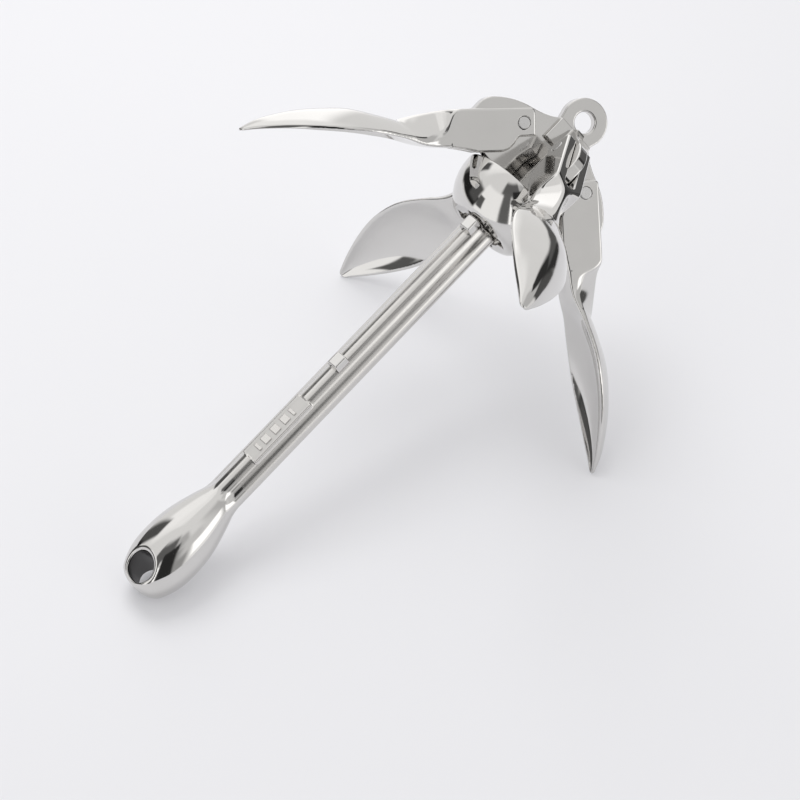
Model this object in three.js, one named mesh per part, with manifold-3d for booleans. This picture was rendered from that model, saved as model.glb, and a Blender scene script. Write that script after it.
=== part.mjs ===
// Folding grapnel anchor: a clover-section shank with a rope eye at one end, a cross-shaped crown
// with four hinged spoon flukes at the other, and a cup that slides on the shank behind the flukes.
//
// Anchor axes, before the anchor is laid down: +X runs along the shank from the rope eye to the crown
// and x = 0 is the centre of the trip eye. Each fluke lies in a plane through the shank. Fluke A points
// to +Y, fluke D to +Z, fluke C to -Y and fluke B to -Z. Sizes are millimetres.

import * as THREE from 'three';
import { mergeVertices } from 'three/addons/utils/BufferGeometryUtils.js';
import Module from 'manifold-3d';

const wasm = await Module();
wasm.setup();

// Crown: a cross of flat plates with the trip eye at its end.
const PLATE_THICKNESS = 6.8;
const TRIP_EYE_RADIUS = 6.5;
const TRIP_EYE_OUTER_RADIUS = 15;
const HUB_FRONT = -9;
const HUB_BACK = -25;
const HUB_HALF_WIDTH = 13.1;
const HUB_HALF_DEPTH = 6.5;
const CROWN_BACK = -60.5;
const CROWN_CORE_RADIUS = 12;
const WEB_RADIUS = 55.5;
const WEB_EDGE_FRONT = -33;
const WEB_EDGE_BACK = -48;
const WEB_BACK = -59;

// Fluke hinges and fork arms. Arm sizes are measured from the line from the pin to the fluke's tip.
const HINGE_X = -30.5;
const HINGE_RADIUS = 29;
const PIN_RADIUS = 3.7;
const PIN_HOLE_RADIUS = 4;
const DRILL_LENGTH = 60;
const ARM_THICKNESS = 6.6;
const ARM_TOP = 9.2;
const ARM_DEPTH = 16.9;
const ARM_END = 7.7;
const FORK_DEPTH = 45;
const TIP = 172.7;
const RIM_THICKNESS = 2;
const TIP_THICKNESS = 0.3;
const SPOON_STEPS = 12;
const OPEN_ANGLE = 49.4;
const UPPER_FLUKE_DROOP = 7;

// Shank with its teardrop bulb, rope eye and weight pad.
const LOBE_CENTRE = 5;
const LOBE_RADIUS = 6.6;
const CREST = LOBE_CENTRE + LOBE_RADIUS;
const BULB_START = -303;
const BULB_BLEND = 16;
const SHANK_SIDES = 40;
const ROPE_EYE_X = -375.6;
const ROPE_EYE_RADIUS = 8.6;
const PAD_FRONT = -240;
const PAD_BACK = -287;
const PAD_WIDTH = 11.2;
const PAD_HEIGHT = 11;

// Stop bars: each crosses the shank from one lobe to the opposite one.
const CROWN_STOP_X = -96.6;
const CROWN_STOP_REACH = 16.8;
const MID_STOP_X = -210.6;
const MID_STOP_REACH = 16.3;
const STOP_LENGTH = 9.4;
const STOP_WIDTH = 9.4;
const STOP_TAPER = 1.2;
const STOP_CORE_LENGTH = 7;
const STOP_CORE_WIDTH = 5;

// Cup: part of a ball, cut flat at its mouth and at its floor.
const CUP_CENTRE_X = -64.5;
const CUP_RADIUS = 35;
const CUP_WALL = 3.4;
const CUP_MOUTH_X = -62.6;
const CUP_BACK_X = -91.6;
const CUP_FLOOR = 4.5;
const CUP_BORE_RADIUS = 13.4;
const CUP_NOTCH_REACH = 18;
const CUP_NOTCH_WIDTH = 10.4;
const CUP_SIDES = 48;

const GAP = 0.3;
const ROLL = 45;
const DEGREE = Math.PI / 180;

// Solids ------------------------------------------------------------------------------------------

function toManifold(geometry) {
  const bare = geometry.index ? geometry.toNonIndexed() : geometry.clone();
  bare.deleteAttribute('normal');
  bare.deleteAttribute('uv');
  const merged = mergeVertices(bare, 1e-5);
  return new wasm.Manifold(new wasm.Mesh({
    numProp: 3,
    vertProperties: new Float32Array(merged.attributes.position.array),
    triVerts: new Uint32Array(merged.index.array),
  }));
}

function fromManifold(manifold) {
  const mesh = manifold.getMesh();
  const geometry = new THREE.BufferGeometry();
  geometry.setAttribute('position', new THREE.BufferAttribute(mesh.vertProperties, 3));
  geometry.setIndex(new THREE.BufferAttribute(mesh.triVerts, 1));
  geometry.computeVertexNormals();
  return geometry;
}

function join(first, ...others) {
  return fromManifold(others.reduce((sum, other) => sum.add(toManifold(other)), toManifold(first)));
}

function cut(first, ...tools) {
  return fromManifold(tools.reduce((rest, tool) => rest.subtract(toManifold(tool)), toManifold(first)));
}

// A box given by its lowest and highest corners.
function block(low, high) {
  const size = high.map((value, axis) => value - low[axis]);
  const centre = high.map((value, axis) => (value + low[axis]) / 2);
  return new THREE.BoxGeometry(...size).translate(...centre);
}

// A cylinder along Z through (x, y).
function rod(radius, length, x, y, sides = 32) {
  return new THREE.CylinderGeometry(radius, radius, length, sides).rotateX(Math.PI / 2).translate(x, y, 0);
}

// A flat outline in X and Y, extruded to both sides of Z = middle.
function plate(shape, thickness, middle = 0, curveSegments = 8) {
  const options = { depth: thickness, bevelEnabled: false, curveSegments };
  return new THREE.ExtrudeGeometry(shape, options).translate(0, 0, middle - thickness / 2);
}

// A skin over rings of points that all have the same count, closed by a fan at both ends. Seen from
// the end of the row, the points of a ring go round anticlockwise.
function loft(rings) {
  const count = rings[0].length;
  const last = rings.length - 1;
  const positions = [];
  const push = (...points) => points.forEach((point) => positions.push(...point));
  const middle = (ring) => [0, 1, 2].map((axis) => ring.reduce((sum, point) => sum + point[axis], 0) / count);
  const start = middle(rings[0]);
  const end = middle(rings[last]);
  for (let j = 0; j < count; j += 1) {
    const k = (j + 1) % count;
    push(start, rings[0][k], rings[0][j]);
    push(end, rings[last][j], rings[last][k]);
    for (let i = 0; i < last; i += 1) {
      push(rings[i][j], rings[i][k], rings[i + 1][k]);
      push(rings[i][j], rings[i + 1][k], rings[i + 1][j]);
    }
  }
  const geometry = new THREE.BufferGeometry();
  geometry.setAttribute('position', new THREE.Float32BufferAttribute(positions, 3));
  return geometry;
}

function smoothStep(value) {
  const u = Math.min(1, Math.max(0, value));
  return u * u * (3 - 2 * u);
}

// Shank -------------------------------------------------------------------------------------------

// Distance from the axis to the four-lobed outline, in the direction of an angle about X.
function cloverRadius(angle) {
  const quarter = Math.PI / 2;
  const offset = (angle % quarter) - quarter / 2;
  const across = LOBE_CENTRE * Math.sin(offset);
  return LOBE_CENTRE * Math.cos(offset) + Math.sqrt(LOBE_RADIUS ** 2 - across ** 2);
}

// Along the bulb, from its neck to its round end: x and radius.
const bulbProfile = new THREE.SplineCurve([
  new THREE.Vector2(BULB_START, 9.4),
  new THREE.Vector2(-316, 11.3),
  new THREE.Vector2(-329, 15.6),
  new THREE.Vector2(-342, 18.8),
  new THREE.Vector2(-356, 20),
  new THREE.Vector2(-369, 19),
  new THREE.Vector2(-379, 15.6),
  new THREE.Vector2(-385, 9.8),
  new THREE.Vector2(-386.6, 4),
]);

function shankRing(x, bulbRadius) {
  const blend = smoothStep((BULB_START - x) / BULB_BLEND);
  return Array.from({ length: SHANK_SIDES }, (_, i) => {
    const angle = (i / SHANK_SIDES) * 2 * Math.PI;
    const radius = (1 - blend) * cloverRadius(angle) + blend * bulbRadius;
    return [x, radius * Math.cos(angle), radius * Math.sin(angle)];
  });
}

function stopHole(x) {
  const long = STOP_CORE_LENGTH / 2 + GAP;
  const wide = STOP_CORE_WIDTH / 2 + GAP;
  const reach = CREST + 1;
  return block([x - long, -reach, -wide], [x + long, reach, wide]).rotateX(ROLL * DEGREE);
}

function makeShank() {
  const rings = bulbProfile.getPoints(20).reverse().map((point) => shankRing(point.x, point.y));
  rings.push(shankRing(CROWN_BACK - GAP, 0));
  const pad = block([PAD_BACK, 0, -PAD_WIDTH / 2], [PAD_FRONT, PAD_HEIGHT, PAD_WIDTH / 2]);
  const eye = rod(ROPE_EYE_RADIUS, DRILL_LENGTH, 0, 0).rotateX(Math.PI / 2).translate(ROPE_EYE_X, 0, 0);
  const crest = block([PAD_BACK, PAD_HEIGHT, -PAD_WIDTH / 2], [PAD_FRONT, CREST + 1, PAD_WIDTH / 2]);
  const bar = cut(join(loft(rings), pad.rotateX(ROLL * DEGREE)), crest.rotateX(ROLL * DEGREE));
  return cut(bar, eye.rotateX(ROLL * DEGREE), stopHole(CROWN_STOP_X), stopHole(MID_STOP_X));
}

// A square bar through the shank whose two ends swell into tapered lugs.
function makeStopBar(x, reach) {
  const long = STOP_CORE_LENGTH / 2;
  const wide = STOP_CORE_WIDTH / 2;
  const foot = CREST + GAP;
  const square = (height, shrink) => [[-1, 1], [1, 1], [1, -1], [-1, -1]].map(([u, v]) => (
    [x + u * (STOP_LENGTH / 2 - shrink), height, v * (STOP_WIDTH / 2 - shrink)]));
  const core = block([x - long, -foot - 1, -wide], [x + long, foot + 1, wide]);
  const lug = loft([square(foot, 0), square(reach, STOP_TAPER)]);
  return join(core, lug, lug.clone().rotateX(Math.PI)).rotateX(ROLL * DEGREE);
}

// Crown -------------------------------------------------------------------------------------------

// The crown-side and back edges of a web, from the hub to the shank: x and distance from the axis.
const webEdge = [
  [HUB_FRONT, HUB_HALF_WIDTH],
  [-14.5, 20],
  [-18.5, 31],
  [-24.8, 43],
  [WEB_EDGE_FRONT, 53.3],
  [-38, WEB_RADIUS],
  [WEB_EDGE_BACK, WEB_RADIUS],
  [-54, 50],
  [WEB_BACK, 36],
  [CROWN_BACK, CROWN_CORE_RADIUS],
];

// The trip eye and the webs of flukes A and C, cut from one plate.
function makeEyePlate() {
  const shape = new THREE.Shape();
  const shoulder = Math.atan2(HUB_HALF_WIDTH, HUB_FRONT + 4);
  shape.absarc(0, 0, TRIP_EYE_OUTER_RADIUS, -shoulder, shoulder);
  webEdge.forEach(([x, y]) => shape.lineTo(x, y));
  [...webEdge].reverse().forEach(([x, y]) => shape.lineTo(x, -y));
  const eye = new THREE.Path();
  eye.absarc(0, 0, TRIP_EYE_RADIUS, 0, 2 * Math.PI);
  shape.holes.push(eye);
  return withPinHoles(plate(shape, PLATE_THICKNESS, 0, 32), [1, -1]);
}

// One web of flukes B and D with the cheek that thickens the hub.
function makeCheekWeb() {
  const face = PLATE_THICKNESS / 2 + GAP;
  const shape = new THREE.Shape();
  shape.moveTo(HUB_FRONT, face);
  webEdge.forEach(([x, y]) => shape.lineTo(x, y));
  shape.lineTo(CROWN_BACK, face);
  const cheek = block([HUB_BACK, face, -HUB_HALF_WIDTH], [HUB_FRONT, HUB_HALF_DEPTH, HUB_HALF_WIDTH]);
  return withPinHoles(join(plate(shape, PLATE_THICKNESS), cheek), [1]);
}

function withPinHoles(web, sides) {
  return cut(web, ...sides.map((side) => rod(PIN_HOLE_RADIUS, DRILL_LENGTH, HINGE_X, side * HINGE_RADIUS)));
}

// Fluke -------------------------------------------------------------------------------------------

// A smooth curve through [x, value] points, as a function of x.
function curveThrough(points) {
  const slope = (i) => {
    const before = points[Math.max(0, i - 1)];
    const after = points[Math.min(points.length - 1, i + 1)];
    return (after[1] - before[1]) / (after[0] - before[0]);
  };
  return (x) => {
    const next = points.findIndex((point) => point[0] >= x);
    const i = Math.max(0, (next < 0 ? points.length : next) - 1);
    const j = Math.min(points.length - 1, i + 1);
    const width = points[j][0] - points[i][0];
    const u = width > 0 ? (x - points[i][0]) / width : 0;
    const rise = points[j][1] - points[i][1];
    const bend = (slope(i) * width - rise) * (1 - u) - (slope(j) * width - rise) * u;
    return points[i][1] + rise * u + u * (1 - u) * bend;
  };
}

// The spoon, from the crotch of the fork to the tip, against the distance from the pin: half width,
// height of the back's ridge, of the rim's outer edge and of the bowl's floor, and how the back is
// bowed across, from 1 for two flat slopes to 2 for a round.
const halfWidth = curveThrough([
  [FORK_DEPTH, 8.6], [55, 10], [65, 12.8], [75, 16], [85, 19.6], [95, 22], [108, 22.9],
  [120, 22], [135, 18.6], [155, 11.3], [166, 6.3], [TIP, 1],
]);
const ridge = curveThrough([
  [FORK_DEPTH, 8.6], [62, 6.6], [72, 4.6], [78, 3.8], [85, 5.4], [94, 8], [106, 10.9],
  [120, 11.5], [134, 11.2], [144, 10.1], [154, 8.2], [164, 5.4], [TIP, 0.8],
]);
const rim = curveThrough([
  [FORK_DEPTH, -4], [55, -8.4], [65, -7.6], [75, -5.8], [85, -3.6], [95, -1.8], [115, 0.4],
  [135, 1.9], [155, 2.2], [166, 1.5], [TIP, 0.3],
]);
const bowl = curveThrough([
  [FORK_DEPTH, -13.2], [55, -13], [65, -11.6], [75, -6.8], [85, -2], [95, 1.6], [115, 5.4],
  [135, 5.8], [155, 4], [166, 1.8], [TIP, -0.4],
]);
const bow = curveThrough([[FORK_DEPTH, 1.4], [65, 1.1], [78, 1.3], [95, 2], [TIP, 2]]);

// Distances from the pin at which the spoon's rings stand.
const spoonStations = [
  FORK_DEPTH, 50, 55, 60, 65, 70, 75, 80, 85, 90, 96, 103,
  111, 120, 129, 138, 147, 155, 162, 167.5, 171, TIP,
];
function spoonRing(s) {
  const across = Array.from({ length: SPOON_STEPS + 1 }, (_, i) => -Math.cos((i / SPOON_STEPS) * Math.PI));
  const rimThickness = Math.min(RIM_THICKNESS, TIP_THICKNESS + (TIP - s) / 8);
  const back = across.map((u) => [
    s, rim(s) + (ridge(s) - rim(s)) * (1 - Math.abs(u) ** bow(s)), u * halfWidth(s),
  ]);
  const underside = rim(s) - rimThickness;
  const front = across.map((u) => [s, underside + (bowl(s) - underside) * (1 - u * u), -u * halfWidth(s)]);
  return [...back, ...front];
}

// One of the two fork arms as an outline along the arm and away from the shank.
function armOutline() {
  const shape = new THREE.Shape();
  shape.moveTo(-ARM_END, -5);
  shape.lineTo(-ARM_END, 4.5);
  shape.quadraticCurveTo(-ARM_END, ARM_TOP, -3, ARM_TOP);
  shape.lineTo(42, ARM_TOP);
  shape.quadraticCurveTo(47, 4, 49, -2);
  shape.quadraticCurveTo(52, -6, 60, -8);
  shape.lineTo(62, -12);
  shape.lineTo(46, -13.4);
  shape.quadraticCurveTo(36, -15, 29, -ARM_DEPTH);
  shape.lineTo(15, -ARM_DEPTH);
  shape.quadraticCurveTo(9, -16.5, 5.4, -11.2);
  shape.quadraticCurveTo(3, -9, -ARM_END, -5);
  return shape;
}

// Local axes: +X runs from the pin to the tip, +Y towards the shank and Z along the pin.
function makeFluke() {
  const armMiddle = PLATE_THICKNESS / 2 + GAP + ARM_THICKNESS / 2;
  const arms = [1, -1].map((side) => plate(armOutline(), ARM_THICKNESS, side * armMiddle, 5));
  const fluke = join(loft(spoonStations.map(spoonRing)), ...arms);
  return cut(fluke, rod(PIN_HOLE_RADIUS, DRILL_LENGTH, 0, 0)).rotateX(Math.PI);
}

function makeHingePin() {
  const length = PLATE_THICKNESS + 2 * (GAP + ARM_THICKNESS);
  return rod(PIN_RADIUS, length, 0, 0);
}

// Cup ---------------------------------------------------------------------------------------------

function makeCup() {
  const sphere = (radius, x) => Math.sqrt(radius ** 2 - (x - CUP_CENTRE_X) ** 2);
  const floor = CUP_BACK_X + CUP_FLOOR;
  const arc = (radius, from, to, steps) => {
    const angle = (x) => Math.acos((x - CUP_CENTRE_X) / radius);
    return Array.from({ length: steps + 1 }, (_, i) => {
      const turn = angle(from) + (angle(to) - angle(from)) * (i / steps);
      return new THREE.Vector2(radius * Math.sin(turn), CUP_CENTRE_X + radius * Math.cos(turn));
    });
  };
  const profile = [
    ...arc(CUP_RADIUS, CUP_BACK_X, CUP_MOUTH_X, 8),
    ...arc(CUP_RADIUS - CUP_WALL, CUP_MOUTH_X, floor, 8),
    new THREE.Vector2(CUP_BORE_RADIUS, floor),
    new THREE.Vector2(CUP_BORE_RADIUS, CUP_BACK_X),
    new THREE.Vector2(sphere(CUP_RADIUS, CUP_BACK_X), CUP_BACK_X),
  ];
  const shell = new THREE.LatheGeometry(profile, CUP_SIDES).rotateZ(-Math.PI / 2);
  const notch = (angle) => {
    const low = [CUP_BACK_X - 1, -CUP_NOTCH_REACH, -CUP_NOTCH_WIDTH / 2];
    const high = [floor + 1, CUP_NOTCH_REACH, CUP_NOTCH_WIDTH / 2];
    return block(low, high).rotateX(angle * DEGREE);
  };
  return cut(shell, notch(ROLL), notch(-ROLL));
}

// Assembly ----------------------------------------------------------------------------------------

const polishedSteel = { color: 0xd9d8d6, metalness: 1, roughness: 0.12 };
const satinSteel = { color: 0xcfcecb, metalness: 1, roughness: 0.3 };

function piece(name, geometry, look = polishedSteel) {
  const mesh = new THREE.Mesh(geometry, new THREE.MeshStandardMaterial(look));
  mesh.name = name;
  return mesh;
}

// The four flukes, each with its turn about the shank. The upper fluke on the left droops a little.
const flukes = [
  { letter: 'a', turn: 0, droop: UPPER_FLUKE_DROOP },
  { letter: 'd', turn: 90, droop: 0 },
  { letter: 'c', turn: 180, droop: 0 },
  { letter: 'b', turn: 270, droop: 0 },
];

const anchor = new THREE.Group();
anchor.add(
  piece('shank', makeShank()),
  piece('eye_plate', makeEyePlate(), satinSteel),
  piece('crown_stop_bar', makeStopBar(CROWN_STOP_X, CROWN_STOP_REACH)),
  piece('mid_stop_bar', makeStopBar(MID_STOP_X, MID_STOP_REACH)),
  piece('locking_cup', makeCup()),
);

flukes.forEach(({ letter, turn, droop }) => {
  const side = new THREE.Group();
  side.rotation.x = turn * DEGREE;
  anchor.add(side);
  if (letter === 'b' || letter === 'd') {
    side.add(piece(`cheek_web_${letter}`, makeCheekWeb(), satinSteel));
  }
  const pin = piece(`hinge_pin_${letter}`, makeHingePin());
  pin.position.set(HINGE_X, HINGE_RADIUS, 0);
  const fluke = piece(`fluke_${letter}`, makeFluke());
  fluke.position.copy(pin.position);
  fluke.rotation.z = Math.PI - (OPEN_ANGLE - droop) * DEGREE;
  side.add(pin, fluke);
});

// The anchor lies on its bulb and on the tips of flukes B and C, with the crown end up.
const laid = new THREE.Group();
anchor.rotation.x = ROLL * DEGREE;
laid.add(anchor);

function lowest(name) {
  laid.updateMatrixWorld(true);
  return new THREE.Box3().setFromObject(laid.getObjectByName(name), true).min.z;
}

let low = 0;
let high = ROLL * DEGREE;
for (let i = 0; i < 30; i += 1) {
  laid.rotation.y = -(low + high) / 2;
  if (lowest('shank') > lowest('fluke_b')) {
    low = -laid.rotation.y;
  } else {
    high = -laid.rotation.y;
  }
}

const box = new THREE.Box3().setFromObject(laid, true);
const middle = box.getCenter(new THREE.Vector3());
laid.position.set(-middle.x, -middle.y, -box.min.z);

const model = new THREE.Group();
model.add(laid);

export default model;
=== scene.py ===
"""Looks of the folding grapnel anchor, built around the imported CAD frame.

Each piece is a closed mesh laid on the zero surface of a distance function, with rounded edges and
fillets. The functions work in millimetres in the anchor's own axes: x along the shank towards the
crown, y towards fluke A and z towards fluke D, with x = 0 at the centre of the trip eye. p and q are
y and z turned by 45 degrees, so that they point at the lobes of the shank.
"""

import functools
import math

import bpy
import numpy as np
from mathutils import Matrix, Quaternion, Vector


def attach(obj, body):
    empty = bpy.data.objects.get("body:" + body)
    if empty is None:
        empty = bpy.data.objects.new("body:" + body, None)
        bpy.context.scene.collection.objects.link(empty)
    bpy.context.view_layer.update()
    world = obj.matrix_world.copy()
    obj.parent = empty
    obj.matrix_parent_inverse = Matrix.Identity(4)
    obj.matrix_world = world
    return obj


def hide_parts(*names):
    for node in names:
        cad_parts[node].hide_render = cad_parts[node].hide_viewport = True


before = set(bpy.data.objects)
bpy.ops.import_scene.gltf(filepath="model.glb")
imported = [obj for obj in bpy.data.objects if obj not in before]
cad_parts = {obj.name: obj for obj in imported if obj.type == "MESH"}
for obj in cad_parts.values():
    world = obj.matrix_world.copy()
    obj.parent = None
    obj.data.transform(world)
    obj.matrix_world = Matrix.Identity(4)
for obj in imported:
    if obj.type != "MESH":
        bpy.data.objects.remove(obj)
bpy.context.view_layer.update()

# Where the anchor lies: shank tilt, roll about the shank, and the place of the trip eye in metres.
TILT = math.radians(22.89827807)
ROLL = math.radians(45)
TRIP_EYE = Vector((0.17160443, 0.0, 0.16059112))
MM = 0.001

# The camera, in the frame's axes.
CAMERA_PLACE = (-0.67264012, -0.6495002, 1.09481674)
CAMERA_TURN = (0.87051369, 0.3191134, -0.1539348, -0.3415796)
CAMERA_LENS = 104.449

HALF_ROOT = math.sqrt(0.5)

# Distance functions ------------------------------------------------------------------------------


def rounded_and(a, b, radius):
    """What lies in both, with the edge between them rounded."""
    corner = np.hypot(np.maximum(a + radius, 0), np.maximum(b + radius, 0))
    return np.minimum(-radius, np.maximum(a, b)) + corner


def rounded_or(a, b, radius):
    """What lies in either, with a fillet between them."""
    corner = np.hypot(np.maximum(radius - a, 0), np.maximum(radius - b, 0))
    return np.maximum(radius, np.minimum(a, b)) - corner


def rounded_box(offsets, halves, radius):
    """A box from its distances to the centre along two or three axes."""
    over = [np.abs(o) - (h - radius) for o, h in zip(offsets, halves)]
    outside = np.sqrt(sum(np.maximum(o, 0) ** 2 for o in over))
    inside = np.minimum(functools.reduce(np.maximum, over), 0)
    return outside + inside - radius


def smooth_curve(points):
    """A natural cubic spline through (x, value) points, straight beyond its ends, and its slope."""
    x, v = np.array(points, float).T
    gap = np.diff(x)
    rate = np.diff(v) / gap
    system = np.eye(len(x))
    right = np.zeros(len(x))
    for i in range(1, len(x) - 1):
        system[i, i - 1 : i + 2] = gap[i - 1], 2 * (gap[i - 1] + gap[i]), gap[i]
        right[i] = 6 * (rate[i] - rate[i - 1])
    bend = np.linalg.solve(system, right)
    start = rate - gap * (2 * bend[:-1] + bend[1:]) / 6
    end_slope = start[-1] + gap[-1] * (bend[-2] + bend[-1]) / 2

    def parts(at):
        i = np.clip(np.searchsorted(x, at) - 1, 0, len(gap) - 1)
        return i, np.clip(at, x[0], x[-1]) - x[i]

    def value(at):
        i, u = parts(at)
        inner = v[i] + u * (start[i] + u * (bend[i] / 2 + u * (bend[i + 1] - bend[i]) / (6 * gap[i])))
        return inner + np.maximum(at - x[-1], 0) * end_slope + np.minimum(at - x[0], 0) * start[0]

    def slope(at):
        i, u = parts(at)
        return start[i] + u * (bend[i] + u * (bend[i + 1] - bend[i]) / (2 * gap[i]))

    return value, slope


def outline_distance(points, x, y):
    """Distance to a closed outline, negative inside."""
    nearest = np.float64(np.inf)
    inside = np.zeros(np.broadcast(x, y).shape, bool)
    for (ax, ay), (bx, by) in zip(points, points[1:] + points[:1]):
        ex, ey = bx - ax, by - ay
        along = np.clip(((x - ax) * ex + (y - ay) * ey) / (ex * ex + ey * ey), 0, 1)
        nearest = np.minimum(nearest, (x - ax - along * ex) ** 2 + (y - ay - along * ey) ** 2)
        if ay != by:
            inside ^= ((ay > y) != (by > y)) & (x < ax + (y - ay) * ex / ey)
    return np.where(inside, -1, 1) * np.sqrt(nearest)


def bend(start, control, end, steps=8):
    """Points of a quadratic curve, without its first one."""
    return [
        tuple((1 - u) ** 2 * a + 2 * u * (1 - u) * b + u * u * c for a, b, c in zip(start, control, end))
        for u in (k / steps for k in range(1, steps + 1))
    ]


# Shank -------------------------------------------------------------------------------------------

LOBE_CENTRE, LOBE_RADIUS, GROOVE_FILLET = 5.0, 6.6, 1.7
SHANK_END, LOBES_END, BULB_SHOULDER = -60.8, -345.0, -303.0
ROPE_EYE_X, ROPE_EYE_RADIUS, ROPE_EYE_LIP = -375.6, 8.6, 2.8
SHANK_EDGE, BULB_FILLET = 0.6, 1.8
PAD_MIDDLE, PAD_HALF_LENGTH, PAD_HEIGHT, PAD_HALF_WIDTH = -263.5, 23.5, 11.0, 5.6
PAD_FILLET, PAD_CUT, PAD_CUT_SIDE, PAD_CUT_CORNER, PAD_CUT_EDGE = 0.7, 5.0, 2.0, 0.3, 0.4
STOP_HALF, STOP_EDGE, STOP_TAPER_START = 4.7, 0.9, 11.9
STOP_TAPER_ALONG, STOP_TAPER_ACROSS = 0.25, 1.2
MARK_HALF_HEIGHT, MARK_SINK, MARK_EDGE = 0.75, 0.1, 0.45

bulb_square, bulb_slope = smooth_curve(
    [(x, r * r) for x, r in (
        (-387.0, 0.5), (-385.2, 9.4), (-379, 15.6), (-369, 19), (-356, 20), (-342, 18.8),
        (-329, 15.6), (-316, 11.2), (-307, 7), (-300, 3.4))]
    + [(-292, -8.0)]
)


def shank(x, y, z):
    """The four-lobed bar, the bulb, the rope eye and the flat that is cut for the weight pad."""
    p, q = (y + z) * HALF_ROOT, (y - z) * HALF_ROOT
    one = np.hypot(np.abs(p) - LOBE_CENTRE, q) - LOBE_RADIUS
    other = np.hypot(p, np.abs(q) - LOBE_CENTRE) - LOBE_RADIUS
    bar = rounded_or(one, other, GROOVE_FILLET)
    bar = rounded_and(bar, x - SHANK_END, SHANK_EDGE)
    bar = np.maximum(bar, LOBES_END - x)
    square = p * p + q * q
    bulb = (square - bulb_square(x)) / np.sqrt(4 * square + bulb_slope(x) ** 2 + 1)
    body = rounded_or(bar, bulb, BULB_FILLET)
    pad = rounded_box(
        (x - PAD_MIDDLE, p - PAD_HEIGHT / 2, q),
        (PAD_HALF_LENGTH, PAD_HEIGHT / 2, PAD_HALF_WIDTH), PAD_FILLET)
    body = rounded_or(body, pad, PAD_FILLET)
    above = rounded_box(
        (x - PAD_MIDDLE, p - PAD_HEIGHT - PAD_CUT, q),
        (PAD_HALF_LENGTH, PAD_CUT, PAD_HALF_WIDTH + PAD_CUT_SIDE), PAD_CUT_CORNER)
    body = rounded_and(body, -above, PAD_CUT_EDGE)
    eye = np.hypot(x - ROPE_EYE_X, q) - ROPE_EYE_RADIUS
    return rounded_and(body, -eye, ROPE_EYE_LIP)


def stop_bar(middle, reach):
    """A bar through the upper and lower lobes, which ends in a tapered lug on each."""
    def shape(x, y, z):
        p, q = np.abs(y + z) * HALF_ROOT, (y - z) * HALF_ROOT
        taper = np.clip((p - STOP_TAPER_START) / (reach - STOP_TAPER_START), 0, 1)
        halves = (STOP_HALF - STOP_TAPER_ALONG * taper, reach, STOP_HALF - STOP_TAPER_ACROSS * taper)
        return rounded_box((x - middle, p, q), halves, STOP_EDGE)

    return shape


def pad_bar(middle, half_length, half_width):
    """A plain raised bar on the weight pad."""
    def shape(x, y, z):
        p, q = (y + z) * HALF_ROOT, (y - z) * HALF_ROOT
        offsets = (x - middle, p - PAD_HEIGHT + MARK_SINK, q)
        return rounded_box(offsets, (half_length, MARK_HALF_HEIGHT, half_width), MARK_EDGE)

    return shape


# Crown -------------------------------------------------------------------------------------------

PLATE_HALF, PLATE_EDGE = 3.4, 0.9
TRIP_EYE_RADIUS, TRIP_EYE_OUTER, TRIP_EYE_EDGE, TRIP_EYE_STEPS = 6.5, 15.0, 1.2, 49
HUB_FRONT, HUB_BACK, HUB_HALF_WIDTH, HUB_HALF_DEPTH = -9.0, -25.0, 13.1, 6.5
RING_END_X = -5.0
HINGE_X, HINGE_RADIUS, PIN_RADIUS, PIN_HOLE_RADIUS = -30.5, 29.0, 3.75, 3.85
FACE, CHEEK_EDGE, CHEEK_FILLET, PIN_HOLE_EDGE, PIN_EDGE = 3.7, 0.7, 0.8, 0.3, 0.35

WEB_EDGE = (
    [(-9, 13.1)] + bend((-9, 13.1), (-14.8, 19), (-18.5, 31)) + bend((-18.5, 31), (-22, 42.5), (-31.5, 51.8))
    + bend((-31.5, 51.8), (-35.2, 55.5), (-40, 55.5)) + bend((-45, 55.5), (-50.5, 55.5), (-54, 50))
    + bend((-54, 50), (-59.5, 41), (-60, 30)) + [(-60.5, 12)]
)


def pin_hole(x, v):
    """Distance to the hole for a hinge pin, negative inside the hole."""
    return np.hypot(x - HINGE_X, v - HINGE_RADIUS) - PIN_HOLE_RADIUS


def eye_plate(x, y, z):
    """The trip eye and the webs of flukes A and C in one flat plate."""
    arc = math.atan2(HUB_HALF_WIDTH, RING_END_X)
    ring = [
        (TRIP_EYE_OUTER * math.cos(a), TRIP_EYE_OUTER * math.sin(a))
        for a in np.linspace(-arc, arc, TRIP_EYE_STEPS)]
    outline = ring + WEB_EDGE + [(u, -v) for u, v in reversed(WEB_EDGE)]
    flat = outline_distance(outline, x, y)
    flat = rounded_and(flat, np.abs(z) - PLATE_HALF, PLATE_EDGE)
    flat = rounded_and(flat, TRIP_EYE_RADIUS - np.hypot(x, y), TRIP_EYE_EDGE)
    return rounded_and(flat, -pin_hole(x, np.abs(y)), PIN_HOLE_EDGE)


def cheek_web(x, v, w):
    """v points out along the fluke's side and w across the web."""
    outline = [(HUB_FRONT, FACE)] + WEB_EDGE + [(-60.5, FACE)]
    flat = rounded_and(outline_distance(outline, x, v), np.abs(w) - PLATE_HALF, PLATE_EDGE)
    middle, half = (HUB_FRONT + HUB_BACK) / 2, (HUB_FRONT - HUB_BACK) / 2
    depth = (HUB_HALF_DEPTH - FACE) / 2
    cheek = rounded_box((x - middle, v - FACE - depth, w), (half, depth, HUB_HALF_WIDTH), CHEEK_EDGE)
    return rounded_and(rounded_or(flat, cheek, CHEEK_FILLET), -pin_hole(x, v), PIN_HOLE_EDGE)


def hinge_pin(s, t, w):
    """A plain pin, ground flush with the arms."""
    return rounded_and(np.hypot(s, t) - PIN_RADIUS, np.abs(w) - ARM_FACE, PIN_EDGE)


# Fluke -------------------------------------------------------------------------------------------
# s runs from the pin to the tip, t away from the shank and w along the pin.

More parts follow.
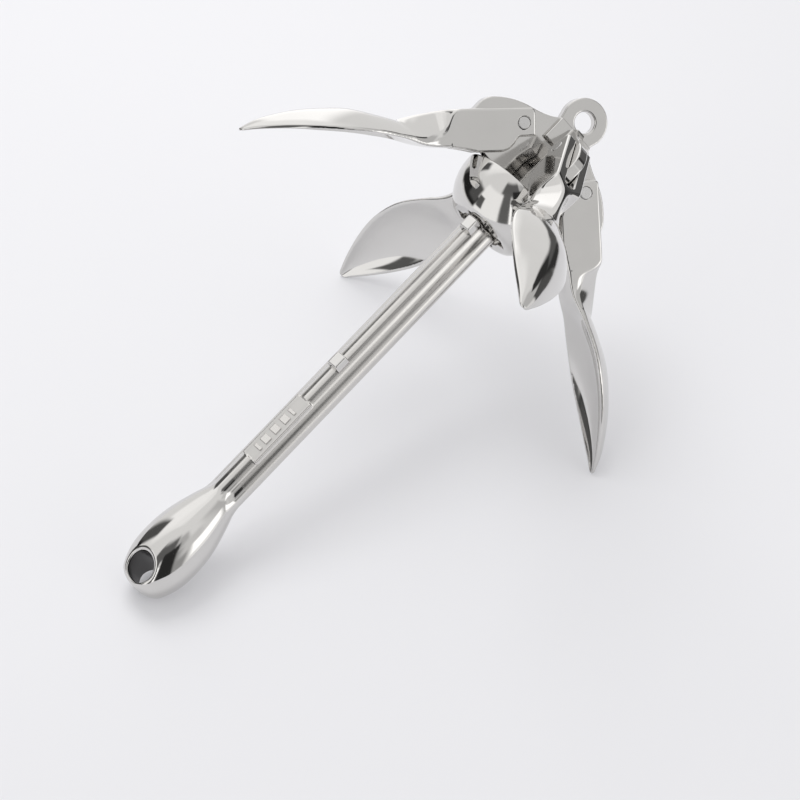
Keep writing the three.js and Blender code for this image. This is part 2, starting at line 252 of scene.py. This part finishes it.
TIP = 172.7
ARM_FACE, SLOT_HALF, SLOT_END = 10.3, 3.7, 45.0
FACET_START, BACK_START, LAND_START, LAND_WIDTH = 36.0, 70.0, 46.5, 2.4
SPINE_EDGE, NECK_FILLET, TIP_EDGE, SLOT_EDGE = 1.4, 0.9, 2.4, 0.8
RIM_EDGE, ARM_EDGE_EXTRA, ARM_EDGE_END, ARM_EDGE_RUN = 0.55, 0.75, 78.0, 20.0
OPEN_ANGLE, DROOP = 49.4, 7.0

# Along s: half of the width, the height t of the neck's ridge, half of the ridge's width, how steeply
# the neck falls away beside it, and the heights of the blade's ridge, rim, land and bowl.
half_width, half_width_slope = smooth_curve([
    (40, 10.3), (47, 10.3), (54, 10.4), (60, 11.5), (65, 12.9), (75, 16.1), (85, 19.5), (95, 22),
    (108, 22.9), (120, 22), (135, 18.5), (155, 11.0), (166, 5.7), (TIP, 2.0)])
neck_ridge, _ = smooth_curve([
    (30, 9.2), (42, 9.1), (50, 8.5), (62, 6.8), (72, 5), (78, 3.4), (86, 0), (110, -14)])
spine_half, _ = smooth_curve([
    (FACET_START, 16.3), (42, 10.3), (45.6, 6.7), (48.4, 4.2), (52, 2.5), (57, 1.8), (80, 1.4)])
facet_fall, _ = smooth_curve([
    (FACET_START, 0.7), (42, 0.8), (45.6, 0.98), (48.4, 1.55), (51.5, 1.72), (55, 1.7), (60, 1.56),
    (65, 1.24), (70, 0.92), (75, 0.68), (82, 0.4), (95, 0.2)])
blade_ridge, _ = smooth_curve([
    (60, -14), (67, -6.5), (72, -0.2), (78, 3.4), (85, 5.6), (94, 8), (106, 10.8), (120, 11.6),
    (134, 11.2), (144, 10.1), (154, 8.2), (164, 5.3), (TIP, 0.9)])
rim, _ = smooth_curve([
    (45, -4), (55, -8.4), (65, -7.6), (75, -5.8), (85, -3.6), (95, -1.8), (115, 0.4), (135, 1.9),
    (155, 2.2), (166, 1.5), (TIP, 0.4)])
land, _ = smooth_curve([
    (40, -13.9), (54, -12.9), (62, -12), (68, -10.3), (75, -7.9), (85, -5.6), (95, -3.8), (115, -1.6),
    (135, -0.1), (155, 0.3), (166, 0), (TIP, -0.7)])
bowl, _ = smooth_curve([
    (40, -14.2), (55, -13.4), (65, -11.6), (75, -6.8), (85, -2), (95, 1.6), (115, 5.4), (135, 5.8),
    (155, 4), (166, 1.8), (TIP, -0.4)])

ARM_OUTLINE = (
    [(-7.7, -8), (-7.7, 5)] + bend((-7.7, 5), (-7.7, 9.2), (-3.5, 9.2)) + [(3, 9.9), (20, 40), (400, 40)]
    + [(400, -80), (50, -80), (47, -13.6)] + bend((47, -13.6), (36, -15), (29, -16.9))
    + [(15, -16.9)] + bend((15, -16.9), (9, -16.5), (5.2, -11))
    + bend((5.2, -11), (3.6, -8.2), (2, -8.2), 4)
)


def level(height, s, a, t, above=1):
    """Distance from a surface t = height(s, a), positive above it, or below it if above is -1."""
    step = 0.05
    ds = (height(s + step, a) - height(s - step, a)) / (2 * step)
    da = (height(s, a + step) - height(s, a - step)) / (2 * step)
    return above * (t - height(s, a)) / np.sqrt(1 + ds * ds + da * da)


def facet_height(s, a):
    """The sloping sides of the neck. Nearer to the pin than FACET_START they stay clear of the arms."""
    s = np.maximum(s, FACET_START)
    return neck_ridge(s) - facet_fall(s) * (a - spine_half(s))


def back_height(s, a):
    """The blade's back, rounded from its rim up to its ridge."""
    rise = 1 - (a / half_width(s)) ** 2
    return rim(s) + (blade_ridge(s) - rim(s)) * rise - np.maximum(BACK_START - s, 0)


def front_height(s, a):
    """The blade's front, hollowed out like a spoon inside a narrow flat land."""
    width = half_width(s)
    inner = width * width / (width + LAND_WIDTH)
    hollow = np.maximum(1 - (a / inner) ** 2, 0)
    return land(s) + (bowl(s) - land(s)) * hollow - 3 * np.maximum(LAND_START - s, 0)


def fluke(s, t, w):
    """A fork of two arms, drilled for the pin, that runs through a ridged neck into a spoon blade."""
    a = np.abs(w)
    spine = level(lambda u, _: neck_ridge(u), s, a, t)
    neck = rounded_and(spine, level(facet_height, s, a, t), SPINE_EDGE)
    back = rounded_or(neck, level(back_height, s, a, t), NECK_FILLET)
    front = level(front_height, s, a, t, -1)
    profile = np.maximum(np.maximum(outline_distance(ARM_OUTLINE, s, t), back), front)
    side = (a - half_width(s)) / np.sqrt(1 + half_width_slope(s) ** 2)
    side = rounded_and(side, s - TIP, TIP_EDGE)
    edge = RIM_EDGE + ARM_EDGE_EXTRA * np.clip((ARM_EDGE_END - s) / ARM_EDGE_RUN, 0, 1)
    body = rounded_and(profile, side, edge)
    end = SLOT_END - SLOT_HALF
    slot = np.hypot(np.maximum(s - end, 0), a) - SLOT_HALF
    body = rounded_and(body, -slot, SLOT_EDGE)
    return rounded_and(body, PIN_HOLE_RADIUS - np.hypot(s, t), PIN_HOLE_EDGE)


# Cup ---------------------------------------------------------------------------------------------

CUP_CENTRE, CUP_RADIUS, CUP_WALL = -64.5, 35.0, 3.4
CUP_MOUTH, CUP_BACK, CUP_FLOOR, CUP_BORE = -62.6, -91.6, 4.5, 13.4
NOTCH_REACH, NOTCH_HALF, NOTCH_CORNER, NOTCH_FILLET = 18.0, 5.2, 1.2, 0.8
CUP_RIM_EDGE, CUP_BACK_EDGE, FLOOR_FILLET, BORE_FILLET, OPENING_EDGE = 1.1, 1.4, 4, 0.9, 0.7


def cup(x, y, z):
    """Most of a hollow ball, with a round bore and a notch for each lobe's lug in its floor."""
    p, q = (y + z) * HALF_ROOT, (y - z) * HALF_ROOT
    r = np.hypot(y, z)
    ball = np.hypot(r, x - CUP_CENTRE)
    shell = rounded_and(ball - CUP_RADIUS, x - CUP_MOUTH, CUP_RIM_EDGE)
    shell = rounded_and(shell, CUP_BACK - x, CUP_BACK_EDGE)
    hollow = rounded_and(ball - CUP_RADIUS + CUP_WALL, CUP_BACK + CUP_FLOOR - x, FLOOR_FILLET)
    shell = rounded_and(shell, -hollow, CUP_RIM_EDGE)
    across, upright = (
        rounded_box(offsets, (NOTCH_REACH, NOTCH_HALF), NOTCH_CORNER) for offsets in ((p, q), (q, p)))
    opening = rounded_or(r - CUP_BORE, rounded_or(across, upright, NOTCH_FILLET), BORE_FILLET)
    return rounded_and(shell, -opening, OPENING_EDGE)


# Meshes ------------------------------------------------------------------------------------------

# How far the grid runs past the box, in cells. The odd share keeps flat faces off the grid's points.
CELLS_BEFORE, CELLS_AFTER = 1.37, 2.5
# The step for slopes, how many times the points are moved onto the surface, and the least squared slope
# that a move reckons with.
SLOPE_STEP, MOVES, LEAST_SLOPE = 0.02, 3, 0.1


def surface(shape, low, high, step):
    """Points, normals and quads of a closed skin on a shape's zero surface, one point to a cell."""
    axes = [
        np.arange(start - CELLS_BEFORE * step, stop + CELLS_AFTER * step, step)
        for start, stop in zip(low, high)]
    grid = [a.reshape([-1 if i == k else 1 for i in range(3)]) for k, a in enumerate(axes)]
    values = np.array(np.broadcast_to(shape(*grid), [len(a) for a in axes]), np.float32)
    inside = values < 0
    window = [slice(None, -1), slice(1, None)]
    corners = [(i, j, k) for i in (0, 1) for j in (0, 1) for k in (0, 1)]
    count = sum(inside[window[i], window[j], window[k]].astype(np.int8) for i, j, k in corners)
    active = (count > 0) & (count < 8)
    cells = np.argwhere(active)
    number = np.full(active.shape, -1, np.int64)
    number[active] = np.arange(len(cells))

    total, hits = np.zeros((len(cells), 3)), np.zeros(len(cells))
    for axis in range(3):
        ahead = np.eye(3, dtype=int)[axis]
        for corner in corners:
            if corner[axis]:
                continue
            first = cells + corner
            v0, v1 = values[tuple(first.T)], values[tuple((first + ahead).T)]
            crossed = (v0 < 0) != (v1 < 0)
            share = np.where(crossed, v0 / np.where(crossed, v0 - v1, 1), 0)
            total += crossed[:, None] * (first + share[:, None] * ahead)
            hits += crossed
    points = np.array([a[0] for a in axes]) + step * total / hits[:, None]

    quads = []
    for axis in range(3):
        b, c = (axis + 1) % 3, (axis + 2) % 3
        behind = np.moveaxis(inside, (axis, b, c), (0, 1, 2))
        changed = np.argwhere(behind[:-1, 1:-1, 1:-1] != behind[1:, 1:-1, 1:-1])
        i, j, k = changed.T
        ring = np.empty((len(i), 4), int)
        table = np.moveaxis(number, (axis, b, c), (0, 1, 2))
        for column, (dj, dk) in enumerate(((0, 0), (1, 0), (1, 1), (0, 1))):
            ring[:, column] = table[i, j + dj, k + dk]
        outward = behind[i, j + 1, k + 1]
        ring[~outward] = ring[~outward][:, ::-1]
        quads.append(ring)

    def gradient(at, h=SLOPE_STEP):
        x, y, z = at.T
        return np.stack([
            shape(x + h, y, z) - shape(x - h, y, z),
            shape(x, y + h, z) - shape(x, y - h, z),
            shape(x, y, z + h) - shape(x, y, z - h)], 1) / (2 * h)

    for _ in range(MOVES):
        slope = gradient(points)
        miss = shape(*points.T) / np.maximum((slope ** 2).sum(1), LEAST_SLOPE)
        points -= slope * np.clip(miss, -step / 2, step / 2)[:, None]
    normals = gradient(points)
    normals /= np.maximum(np.linalg.norm(normals, axis=1), 1e-9)[:, None]
    return points, normals, np.concatenate(quads)


def anchor_axes(origin, *directions):
    """The matrix from a piece's own axes, given in anchor axes, to the frame, in metres."""
    own = Matrix([[d[i] for d in directions] + [origin[i]] for i in range(3)] + [[0, 0, 0, 1]])
    lay = Matrix.Rotation(-TILT, 4, "Y") @ Matrix.Rotation(ROLL, 4, "X")
    return Matrix.Translation(TRIP_EYE) @ lay @ Matrix.Scale(MM, 4) @ own


WHOLE = anchor_axes((0, 0, 0), (1, 0, 0), (0, 1, 0), (0, 0, 1))


def make_piece(name, skin, matrix, body, materials, choose=None, nodes=()):
    """A mesh object that rides a body. choose picks each point's place in the list of materials."""
    points, normals, quads = skin
    place = np.array(matrix)
    turn = place[:3, :3] / MM
    mesh = bpy.data.meshes.new(name)
    mesh.vertices.add(len(points))
    mesh.vertices.foreach_set("co", (points @ place[:3, :3].T + place[:3, 3]).ravel())
    mesh.loops.add(quads.size)
    mesh.loops.foreach_set("vertex_index", quads.ravel())
    mesh.polygons.add(len(quads))
    mesh.polygons.foreach_set("loop_start", np.arange(len(quads)) * 4)
    mesh.polygons.foreach_set("use_smooth", np.ones(len(quads), bool))
    for material in materials:
        mesh.materials.append(material)
    if choose is not None:
        finish = choose(points, normals)[quads].min(1)
        mesh.polygons.foreach_set("material_index", finish.astype(int))
    mesh.update()
    mesh.normals_split_custom_set_from_vertices((normals @ turn.T).tolist())
    piece = bpy.data.objects.new(name, mesh)
    bpy.context.scene.collection.objects.link(piece)
    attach(piece, body)
    if nodes:
        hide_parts(*nodes)
    return piece


# Materials ---------------------------------------------------------------------------------------


BLOTCH_SCALE, STREAK_SCALE, WAVE_SCALE, STREAK_STRETCH = 38, 900, 85, (1, 0.08, 1)
DULL_SHARE, STREAK_GLOSS = 0.965, (-0.015, 0.02)


def steel(name, colour, rough_low, rough_high, grain, ripple):
    """Polished steel: faint ripples left by polishing, fine wheel marks and uneven gloss.

    grain and ripple are the depths of the marks and of the ripples in metres.
    """
    material = bpy.data.materials.new(name)
    material.use_nodes = True
    nodes, links = material.node_tree.nodes, material.node_tree.links
    shader = nodes["Principled BSDF"]
    shader.inputs["Metallic"].default_value = 1.0
    place = nodes.new("ShaderNodeTexCoord").outputs["Object"]

    def noise(scale, detail, stretch=(1, 1, 1)):
        mapping = nodes.new("ShaderNodeMapping")
        mapping.inputs["Scale"].default_value = stretch
        links.new(place, mapping.inputs["Vector"])
        texture = nodes.new("ShaderNodeTexNoise")
        texture.inputs["Scale"].default_value = scale
        texture.inputs["Detail"].default_value = detail
        links.new(mapping.outputs["Vector"], texture.inputs["Vector"])
        return texture.outputs["Fac"]

    def ranged(value, low, high, start=0.3, stop=0.7):
        node = nodes.new("ShaderNodeMapRange")
        node.inputs["From Min"].default_value = start
        node.inputs["From Max"].default_value = stop
        node.inputs["To Min"].default_value = low
        node.inputs["To Max"].default_value = high
        links.new(value, node.inputs["Value"])
        return node.outputs["Result"]

    blotch = noise(BLOTCH_SCALE, 3)
    streak = noise(STREAK_SCALE, 3, STREAK_STRETCH)
    tint = nodes.new("ShaderNodeMix")
    tint.data_type = "RGBA"
    tint.inputs["A"].default_value = (*[c * DULL_SHARE for c in colour], 1)
    tint.inputs["B"].default_value = (*colour, 1)
    links.new(ranged(blotch, 0, 1), tint.inputs["Factor"])
    links.new(tint.outputs["Result"], shader.inputs["Base Color"])
    gloss = nodes.new("ShaderNodeMath")
    gloss.operation = "ADD"
    links.new(ranged(blotch, rough_low, rough_high), gloss.inputs[0])
    links.new(ranged(streak, *STREAK_GLOSS), gloss.inputs[1])
    links.new(gloss.outputs["Value"], shader.inputs["Roughness"])
    wave = nodes.new("ShaderNodeBump")
    wave.inputs["Strength"].default_value = 1.0
    wave.inputs["Distance"].default_value = ripple
    links.new(noise(WAVE_SCALE, 1), wave.inputs["Height"])
    marks = nodes.new("ShaderNodeBump")
    marks.inputs["Strength"].default_value = 1.0
    marks.inputs["Distance"].default_value = grain
    links.new(streak, marks.inputs["Height"])
    links.new(wave.outputs["Normal"], marks.inputs["Normal"])
    links.new(marks.outputs["Normal"], shader.inputs["Normal"])
    return material


mirror = steel("polished_steel", (0.68, 0.67, 0.655), 0.04, 0.085, 0.0000012, 0.00003)
satin = steel("satin_steel", (0.66, 0.65, 0.635), 0.055, 0.11, 0.0000012, 0.00004)
brushed = steel("brushed_steel", (0.68, 0.665, 0.645), 0.15, 0.21, 0.000002, 0.00002)
matt = steel("matt_steel", (0.6, 0.59, 0.575), 0.26, 0.36, 0.000004, 0.00002)
# The rope eye's bore gets painted shade: a dark steel colour that stands in for the shade inside the hole.
bore_painted_shade = steel("bore_painted_shade_steel", (0.16, 0.157, 0.155), 0.3, 0.42, 0.000004, 0.00002)
pin_look = steel("pin_steel", (0.65, 0.645, 0.64), 0.18, 0.28, 0.000004, 0.00001)

# Pieces ------------------------------------------------------------------------------------------

ROOT = "anchor_body"
ARM_END, FLAT, NEARLY_FLAT = 62, 0.995, 0.98
EYE_MARGIN, PAD_MARGIN = 0.35, 0.3


def ground_faces(points, normals):
    """1 on the flat ground side faces of the fork arms and 0 elsewhere."""
    return (np.abs(normals[:, 2]) > FLAT) & (points[:, 0] < ARM_END)


def shank_finish(points, normals):
    """0 on the bulb, 1 on the bar, 2 on the face of the weight pad and 3 in the rope eye, which gets painted
    shade.
    """
    x, y, z = points.T
    p, q = (y + z) * HALF_ROOT, (y - z) * HALF_ROOT
    up = (normals[:, 1] + normals[:, 2]) * HALF_ROOT
    in_eye = np.hypot(x - ROPE_EYE_X, q) < ROPE_EYE_RADIUS + EYE_MARGIN
    on_pad = np.abs(x - PAD_MIDDLE) < PAD_HALF_LENGTH
    on_pad &= (up > NEARLY_FLAT) & (p > PAD_HEIGHT - PAD_MARGIN)
    return np.where(in_eye, 3, np.where(on_pad, 2, x > BULB_SHOULDER))


# The size of a mesh cell on each piece, and the place and half length of each mark on the pad.
SHANK_CELL, FLUKE_CELL, PLATE_CELL, PIN_CELL, MARK_CELL = 0.63, 0.6, 0.5, 0.35, 0.25
PAD_MARKS = ((-250.5, 1.2), (-256.5, 2.6), (-264.5, 2.6), (-272.5, 2.6), (-279, 1.2))
MARK_HALF_WIDTH, MARK_MARGIN = 2.9, 0.3

make_piece(
    "shank_bar", surface(shank, (-387, -21, -21), (-60, 21, 21), SHANK_CELL), WHOLE, ROOT,
    [mirror, brushed, matt, bore_painted_shade], shank_finish, nodes=["shank"])
make_piece(
    "eye_plate_body", surface(eye_plate, (-61, -56, -3.5), (15.1, 56, 3.5), PLATE_CELL), WHOLE, ROOT,
    [satin], nodes=["eye_plate"])
for name, middle, reach in (("crown_stop_bar", -96.6, 16.8), ("mid_stop_bar", -210.6, 16.3)):
    lug = surface(stop_bar(middle, reach), (middle - 5, -16, -16), (middle + 5, 16, 16), PIN_CELL)
    make_piece(name.replace("_bar", "_lugs"), lug, WHOLE, ROOT, [mirror], nodes=[name])
for number, (middle, half_length) in enumerate(PAD_MARKS):
    left, right = middle - half_length - MARK_MARGIN, middle + half_length + MARK_MARGIN
    mark = surface(
        pad_bar(middle, half_length, MARK_HALF_WIDTH), (left, 4, 4), (right, 12, 12), MARK_CELL)
    make_piece(f"pad_mark_{number + 1}", mark, WHOLE, ROOT, [brushed])
make_piece(
    "locking_cup_shell", surface(cup, (-92, -35, -35), (-62, 35, 35), PLATE_CELL), WHOLE, "cup",
    [mirror], nodes=["locking_cup"])

fluke_skin = surface(fluke, (-8, -19, -23), (173, 13, 23), FLUKE_CELL)
web_skin = surface(cheek_web, (-61, 3.5, -13.2), (-9, 56, 13.2), PLATE_CELL)
pin_skin = surface(hinge_pin, (-4, -4, -10.4), (4, 4, 10.4), PIN_CELL)
for letter, side, droop in (
    ("a", (0, 1, 0), DROOP), ("b", (0, 0, -1), 0), ("c", (0, -1, 0), 0), ("d", (0, 0, 1), 0),
):
    side = Vector(side)
    shank_way = Vector((1, 0, 0))
    hinge = shank_way * HINGE_X + side * HINGE_RADIUS
    angle = math.radians(OPEN_ANGLE - droop)
    along = side * math.sin(angle) - shank_way * math.cos(angle)
    away = side * math.cos(angle) + shank_way * math.sin(angle)
    blade = anchor_axes(hinge, along, away, along.cross(away))
    make_piece(
        f"fluke_{letter}_blade", fluke_skin, blade, f"fluke_{letter}",
        [mirror, satin], ground_faces, nodes=[f"fluke_{letter}"])
    make_piece(
        f"hinge_pin_{letter}_rivet", pin_skin, blade, ROOT, [pin_look],
        nodes=[f"hinge_pin_{letter}"])
    if letter in "bd":
        web = anchor_axes((0, 0, 0), shank_way, side, shank_way.cross(side))
        make_piece(
            f"cheek_web_{letter}_body", web_skin, web, ROOT, [satin],
            nodes=[f"cheek_web_{letter}"])

# Floor, light and camera -------------------------------------------------------------------------

FLOOR_HALF = 6.0
PAPER_COLOUR = (0.56, 0.56, 0.575, 1)
PAPER_GLOW = (0.27, 0.27, 0.28, 1)
PAPER_NEAR, PAPER_FAR = 0.55, 0.8


class Graph:
    """Short ways to add shader nodes to a node tree. A plain number or colour fills a socket."""

    def __init__(self, tree):
        self.nodes, self.links = tree.nodes, tree.links

    def add(self, kind, settings=(), inputs=(), out=0):
        node = self.nodes.new(kind)
        for name, value in dict(settings).items():
            setattr(node, name, value)
        for socket, value in dict(inputs).items():
            if isinstance(value, bpy.types.NodeSocket):
                self.links.new(value, node.inputs[socket])
            else:
                node.inputs[socket].default_value = value
        return node.outputs[out]

    def math(self, operation, *values):
        return self.add("ShaderNodeMath", {"operation": operation}, dict(enumerate(values)))

    def rise(self, value, start, stop):
        """0 below start and 1 above stop, with a smooth step between."""
        return self.add(
            "ShaderNodeMapRange", {"interpolation_type": "SMOOTHSTEP"},
            {"Value": value, "From Min": start, "From Max": stop})

    def mix(self, share, first, second):
        return self.add(
            "ShaderNodeMix", {"data_type": "FLOAT"}, {"Factor": share, "A": first, "B": second})


def paper_material():
    """Pale paper. Reflections see it only near the anchor, and the studio beyond it."""
    material = bpy.data.materials.new("floor_paper")
    material.use_nodes = True
    graph = Graph(material.node_tree)
    shader = graph.nodes["Principled BSDF"]
    shader.inputs["Base Color"].default_value = PAPER_COLOUR
    shader.inputs["Roughness"].default_value = 0.9
    shader.inputs["Specular IOR Level"].default_value = 0.0
    shader.inputs["Emission Color"].default_value = PAPER_GLOW
    shader.inputs["Emission Strength"].default_value = 1.0
    away = graph.add("ShaderNodeVectorMath", {"operation": "LENGTH"}, {
        0: graph.add("ShaderNodeTexCoord", out="Object")}, out="Value")
    mirrored = graph.add("ShaderNodeLightPath", out="Is Glossy Ray")
    clear = graph.math("MULTIPLY", mirrored, graph.rise(away, PAPER_NEAR, PAPER_FAR))
    graph.links.new(graph.math("SUBTRACT", 1.0, clear), shader.inputs["Alpha"])
    return material


def add_floor():
    """A sheet of paper, which runs far beyond the view."""
    mesh = bpy.data.meshes.new("floor")
    corners = [(x * FLOOR_HALF, y * FLOOR_HALF, 0) for x, y in ((-1, -1), (1, -1), (1, 1), (-1, 1))]
    mesh.from_pydata(corners, [], [(0, 1, 2, 3)])
    mesh.materials.append(paper_material())
    floor = bpy.data.objects.new("floor", mesh)
    bpy.context.scene.collection.objects.link(floor)


# Soft boxes, panels and dark gaps of the studio, laid over each other in this order: the range of
# azimuth from +X towards +Y, the range of elevation, the brightness, the softness and how far the
# zone leans in azimuth for each degree of elevation. All angles are in degrees.
STUDIO_BASE = 0.92
STUDIO = (
    (-60, -12, 0, 60, 0.62, 16, 0),
    (-168, -112, 43, 70, 0.14, 10, 0),
    (-112, -88, 40, 66, 0.55, 10, 0),
    (-106, -88, -2, 40, 0.38, 6, 0),
    (-135, -104, -7, 54, 0.03, 5, 0),
    (-161, -140, -34, 50, 0.15, 5, 0),
    (-139, -135, -50, 30, 1.5, 2, 0),
    (-98, -66, 22, 48, 0.74, 12, 0),
    (-84, -55, 4, 27, 1.6, 5, 0),
    (-84, -55, -32, 4, 1.1, 8, 0),
    (150, 200, -22, 44, 1.15, 8, 0),
    (24, 122, 40, 86, 1.12, 18, 0),
    (48, 108, 30, 66, 1.2, 14, 0),
    (39, 62, -32, 40, 1.45, 10, 0),
    (87, 106, -12, 44, 0.1, 8, 0.1),
    (96, 152, -9, 12, 0.02, 5, 0.4),
    (128, 151, 0, 30, 0.1, 8, 0),
    (152, 165, -2, 20, 0.12, 4, 0),
    (-34, -6, -27, 10, 0.1, 6, 0),
    (-13, 3, -24, 36, 0.04, 6, -0.3),
    (4, 24, -21, 1, 0.12, 6, -1.0),
)
BACKDROP = 0.9


def studio_world():
    """The studio as reflections and light see it. The camera sees only a plain pale backdrop."""
    world = bpy.data.worlds.new("studio")
    world.use_nodes = True
    graph = Graph(world.node_tree)
    ray = graph.add("ShaderNodeSeparateXYZ", (), {0: graph.add("ShaderNodeTexCoord", out="Generated")})
    x, y, z = ray.node.outputs
    azimuth = graph.math("ARCTAN2", y, x)
    height = graph.math("ARCSINE", z)
    light = STUDIO_BASE
    for left, right, low, high, value, soft, lean in STUDIO:
        margin = math.radians(soft / 2)
        middle, half = math.radians((low + high) / 2), math.radians((high - low) / 2)
        above = graph.math("SUBTRACT", height, middle)
        level = graph.rise(graph.math("ABSOLUTE", above), half + margin, half - margin)
        middle, half = math.radians((left + right) / 2), math.radians((right - left) / 2)
        aside = graph.math("SUBTRACT", azimuth, middle)
        aside = graph.math("SUBTRACT", aside, graph.math("MULTIPLY", above, lean))
        aside = graph.math("ABSOLUTE", graph.math("WRAP", aside, math.pi, -math.pi))
        share = graph.math("MULTIPLY", level, graph.rise(aside, half + margin, half - margin))
        light = graph.mix(share, light, value)
    seen = graph.add("ShaderNodeLightPath", out="Is Camera Ray")
    graph.links.new(graph.mix(seen, light, BACKDROP), graph.nodes["Background"].inputs["Strength"])
    graph.nodes["Background"].inputs["Color"].default_value = (1.0, 0.995, 0.99, 1)
    return world


# A large soft lamp over the far side shapes the shadows on the paper. The steel mirrors the studio only.
LAMP_PLACE, LAMP_AIM = Vector((0.16, 0.6, 1.2)), Vector((0.02, 0, 0.05))
LAMP_SIZE, LAMP_POWER = 0.7, 6.5


def add_lamp():
    """The lamp over the far side, which only the paper and rough surfaces show."""
    data = bpy.data.lights.new("key", "AREA")
    data.shape = "SQUARE"
    data.size = LAMP_SIZE
    data.energy = LAMP_POWER
    lamp = bpy.data.objects.new("key", data)
    lamp.location = LAMP_PLACE
    lamp.rotation_euler = (LAMP_AIM - LAMP_PLACE).to_track_quat("-Z", "Y").to_euler()
    lamp.visible_camera = False
    lamp.visible_glossy = False
    bpy.context.scene.collection.objects.link(lamp)


def add_camera():
    """The camera above the bulb's end, looking down along the shank."""
    data = bpy.data.cameras.new("camera")
    data.lens = CAMERA_LENS
    data.sensor_width = 36
    data.clip_end = 50
    camera = bpy.data.objects.new("camera", data)
    camera.location = CAMERA_PLACE
    camera.rotation_mode = "QUATERNION"
    camera.rotation_quaternion = Quaternion(CAMERA_TURN)
    bpy.context.scene.collection.objects.link(camera)
    bpy.context.scene.camera = camera


add_floor()
add_lamp()
add_camera()
bpy.context.scene.world = studio_world()
bpy.context.scene.view_settings.view_transform = "Standard"
